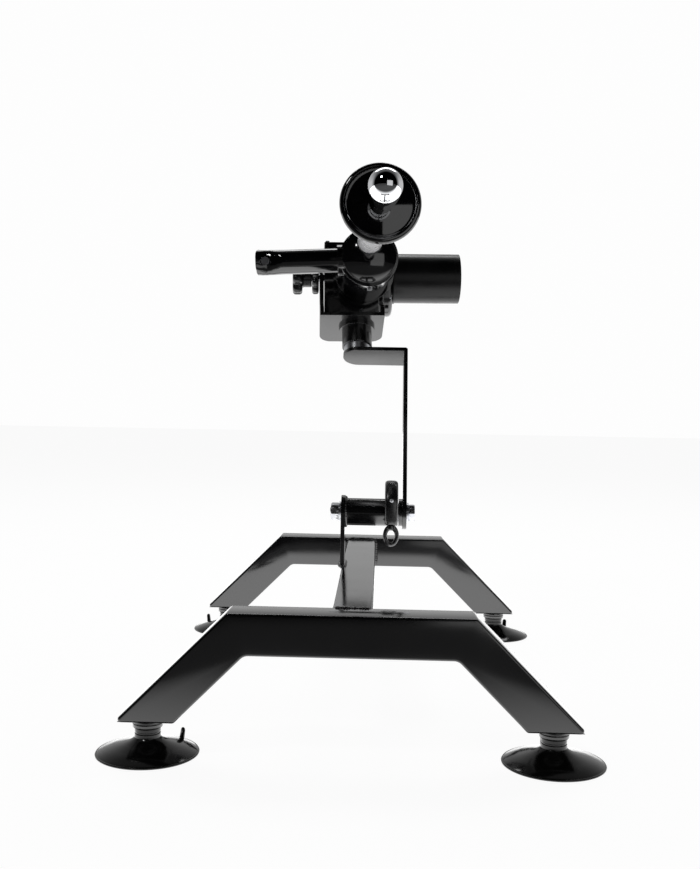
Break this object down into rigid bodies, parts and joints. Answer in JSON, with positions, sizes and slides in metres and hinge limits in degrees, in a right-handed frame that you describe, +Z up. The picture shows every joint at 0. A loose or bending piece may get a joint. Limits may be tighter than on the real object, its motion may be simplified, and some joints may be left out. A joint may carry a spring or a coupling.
{
  "type": "power tower",
  "caption": "Low stand on suction feet whose leaning swivel bracket carries a motor-driven extending rod with a round end disc.",
  "frame": {"origin": "on the floor, midway between the four suction cups", "axes": "+Z up, the rod points towards -Y (the front), +X to the right seen from the front"},
  "size_m": [0.482, 0.636, 0.5859],
  "materials": {
    "frame_black": "gloss black powder coat",
    "bracket_black": "gloss black powder coat",
    "drive_black": "gloss black enamel",
    "case_grey": "satin black casting",
    "motor_black": "matte black",
    "zinc": "bright zinc plate",
    "steel": "ground steel",
    "chrome": "polished chrome",
    "hook_black": "semi-gloss black",
    "cup_rubber": "glossy moulded rubber",
    "knob_plastic": "fine moulded texture",
    "disc_gloss": "polished",
    "bush_bronze": "turned bronze",
    "magnet_dark": "ground magnet",
    "rotor_copper": "varnished windings and laminations"
  },
  "bodies": {
    "base": {"front_beam": "frame_black", "rear_beam": "frame_black", "spine": "frame_black", "leg_plates": "frame_black", "foot_studs": "zinc", "foot_nuts": "zinc", "foot_collars": "frame_black", "suction_cups": "cup_rubber", "pivot_lug": "frame_black", "pivot_boss": "frame_black", "pivot_bolt": "zinc", "pivot_nut": "zinc", "pivot_washers": "zinc"},
    "hook": {"snap_hook": "hook_black", "snap_pin": "steel"},
    "gate": {"snap_gate": "hook_black"},
    "eye": {"snap_eye": "hook_black"},
    "bracket": {"tilt_bracket": "bracket_black", "swivel_collar": "zinc", "swivel_post": "steel"},
    "cradle_head": {"swivel_hub": "bracket_black", "swivel_ring": "bracket_black", "swivel_screw": "steel", "cradle": "bracket_black", "ear_bush": "bush_bronze", "ring_screws": "zinc"},
    "clamp_knob": {"star_knob": "knob_plastic", "knob_stud": "steel"},
    "clamp_wheel": {"lock_wheel": "knob_plastic"},
    "drive": {"drive_body": "drive_black", "body_cover": "drive_black", "drive_screws": "zinc", "tube_flange": "drive_black", "guide_tube": "drive_black", "tube_cap": "drive_black", "rod_bushes": "bush_bronze", "rod_seal": "cup_rubber", "shaft_bearings": "steel", "gear_case": "case_grey", "case_back": "case_grey", "motor_plate": "motor_black", "motor_can": "motor_black", "motor_end": "motor_black", "motor_magnets": "magnet_dark", "power_socket": "knob_plastic"},
    "grip": {"grip_collar": "drive_black", "grip_tube": "drive_black", "grip_bolt": "steel", "set_screw": "steel"},
    "pinion_shaft": {"main_shaft": "steel", "pinion": "steel", "output_gear": "steel"},
    "idler": {"idler_shaft": "steel", "idler_gear": "steel"},
    "rotor": {"motor_rotor": "rotor_copper", "motor_shaft": "steel", "motor_gear": "steel"},
    "ram": {"rod": "chrome", "end_disc": "disc_gloss", "tip": "chrome"}
  },
  "joints": [
    {"name": "bracket_tilt", "type": "hinge", "parent": "base", "child": "bracket", "pos_m": [0, 0.028, 0.201], "axis": [1, 0, 0], "range_deg": [-30, 40]},
    {"name": "hook_swing", "type": "hinge", "parent": "base", "child": "hook", "pos_m": [0, 0.028, 0.201], "axis": [1, 0, 0], "range_deg": [-30, 45]},
    {"name": "gate_open", "type": "hinge", "parent": "hook", "child": "gate", "pos_m": [0.0385, 0.0075, 0.193], "axis": [1, 0, 0], "range_deg": [-12, 0], "stiffness_Nm_per_rad": 0.05},
    {"name": "eye_turn", "type": "hinge", "parent": "hook", "child": "eye", "pos_m": [0.0385, 0.001, 0.19], "axis": [0, 0, 1], "continuous": true},
    {"name": "head_swivel", "type": "hinge", "parent": "bracket", "child": "cradle_head", "pos_m": [-0.00925, 0.13695, 0.41482], "axis": [-0.0454, 0.4535, 0.8901], "range_deg": [-60, 60]},
    {"name": "head_pitch", "type": "hinge", "parent": "cradle_head", "child": "drive", "pos_m": [-0.00832, 0.18087, 0.50035], "axis": [0.9973, 0.0719, 0.0142], "range_deg": [-30, 8]},
    {"name": "knob_turn", "type": "hinge", "parent": "drive", "child": "clamp_knob", "pos_m": [-0.0901, 0.17497, 0.49918], "axis": [0.9973, 0.0719, 0.0142], "range_deg": [0, 360]},
    {"name": "wheel_turn", "type": "hinge", "parent": "drive", "child": "clamp_wheel", "pos_m": [-0.06716, 0.17663, 0.49951], "axis": [0.9973, 0.0719, 0.0142], "range_deg": [0, 360]},
    {"name": "grip_swing", "type": "hinge", "parent": "drive", "child": "grip", "pos_m": [0.00476, 0.0599, 0.51041], "axis": [0.0705, -0.9941, 0.082], "range_deg": [-45, 45]},
    {"name": "rod_slide", "type": "slide", "parent": "drive", "child": "ram", "axis": [0.0705, -0.9941, 0.082], "range_m": [-0.12, 0.01]},
    {"name": "shaft_spin", "type": "hinge", "parent": "drive", "child": "pinion_shaft", "pos_m": [-0.00383, 0.18119, 0.50041], "axis": [0.9973, 0.0719, 0.0142], "range_deg": [-730, 65]},
    {"name": "idler_spin", "type": "hinge", "parent": "drive", "child": "idler", "pos_m": [0.02806, 0.18152, 0.47694], "axis": [0.9973, 0.0719, 0.0142], "range_deg": [-125, 1455]},
    {"name": "rotor_spin", "type": "hinge", "parent": "drive", "child": "rotor", "pos_m": [0.06149, 0.1859, 0.50134], "axis": [0.9973, 0.0719, 0.0142], "range_deg": [-2905, 245]}
  ],
  "couplings": [
    {"joint": "shaft_spin", "follows": "rod_slide", "rad_per_m": 105.26},
    {"joint": "idler_spin", "follows": "rod_slide", "rad_per_m": -210.53},
    {"joint": "rotor_spin", "follows": "rod_slide", "rad_per_m": 421.05}
  ]
}
